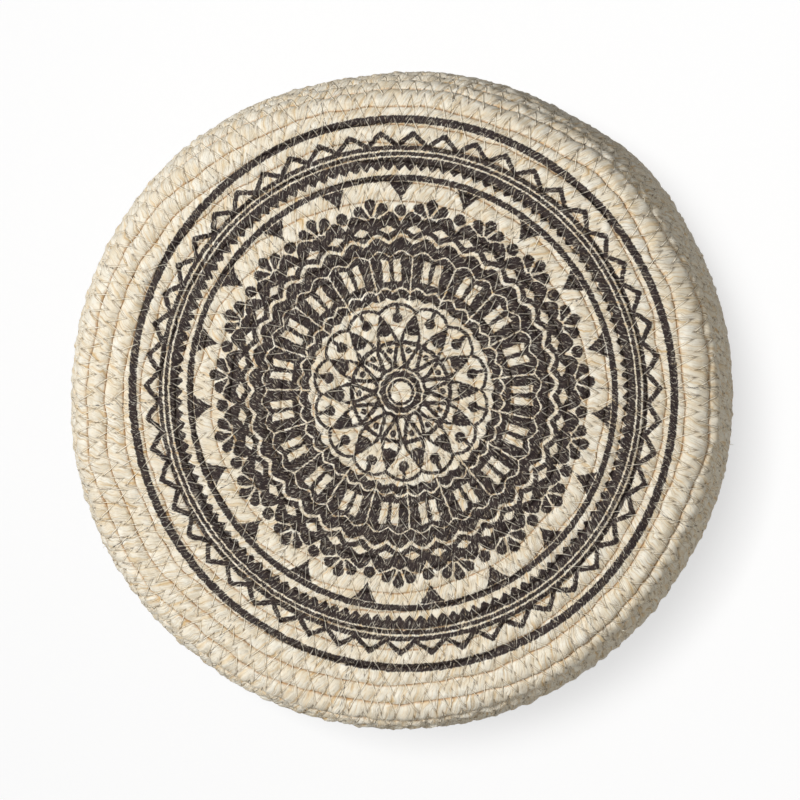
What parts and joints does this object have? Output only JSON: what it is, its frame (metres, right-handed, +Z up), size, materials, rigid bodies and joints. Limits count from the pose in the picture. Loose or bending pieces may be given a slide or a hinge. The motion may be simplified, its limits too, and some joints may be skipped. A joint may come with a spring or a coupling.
{
  "type": "rope-covered stool",
  "caption": "Low round padded stool: coil-sewn husk rope with a printed seat over a wooden drum, on small plastic feet.",
  "frame": {"origin": "middle of the footprint, on the floor under the feet", "axes": "+Z up through the middle of the seat; +X to the right and +Y to the top of the seat as pictured"},
  "size_m": [0.398, 0.398, 0.3],
  "materials": {
    "husk_rope": "dry corn husk, satin, with a dark printed pattern on the seat",
    "liner_cloth": "plain woven cotton",
    "foam": "open-cell foam",
    "wadding": "felted fibre",
    "plywood": "bare plywood",
    "batten_wood": "planed softwood",
    "hardboard": "smooth hardboard",
    "zinc": "zinc plated",
    "tape_cloth": "cotton tape",
    "dust_cloth": "pressed non-woven",
    "foot_plastic": "moulded, matte"
  },
  "bodies": {
    "root": {"seat_rope": "husk_rope", "wall_rope": "husk_rope", "seat_liner": "liner_cloth", "seat_pad": "foam", "wall_pad": "wadding", "seat_board": "plywood", "middle_hoop": "plywood", "base_ring": "plywood", "drum_skin": "hardboard", "post_1": "batten_wood", "post_2": "batten_wood", "post_3": "batten_wood", "post_4": "batten_wood", "post_5": "batten_wood", "post_6": "batten_wood", "seat_board_screw_1": "zinc", "seat_board_screw_2": "zinc", "seat_board_screw_3": "zinc", "seat_board_screw_4": "zinc", "seat_board_screw_5": "zinc", "seat_board_screw_6": "zinc", "base_ring_screw_1": "zinc", "base_ring_screw_2": "zinc", "base_ring_screw_3": "zinc", "base_ring_screw_4": "zinc", "base_ring_screw_5": "zinc", "base_ring_screw_6": "zinc", "skin_tack_1": "zinc", "skin_tack_2": "zinc", "skin_tack_3": "zinc", "skin_tack_4": "zinc", "skin_tack_5": "zinc", "skin_tack_6": "zinc", "hem_tape": "tape_cloth", "dust_cover": "dust_cloth", "cover_tack_1": "zinc", "cover_tack_2": "zinc", "cover_tack_3": "zinc", "cover_tack_4": "zinc", "cover_tack_5": "zinc", "cover_tack_6": "zinc", "cover_tack_7": "zinc", "cover_tack_8": "zinc", "foot_1": "foot_plastic", "foot_2": "foot_plastic", "foot_3": "foot_plastic", "foot_4": "foot_plastic", "foot_screw_1": "zinc", "foot_screw_2": "zinc", "foot_screw_3": "zinc", "foot_screw_4": "zinc"}
  },
  "joints": []
}
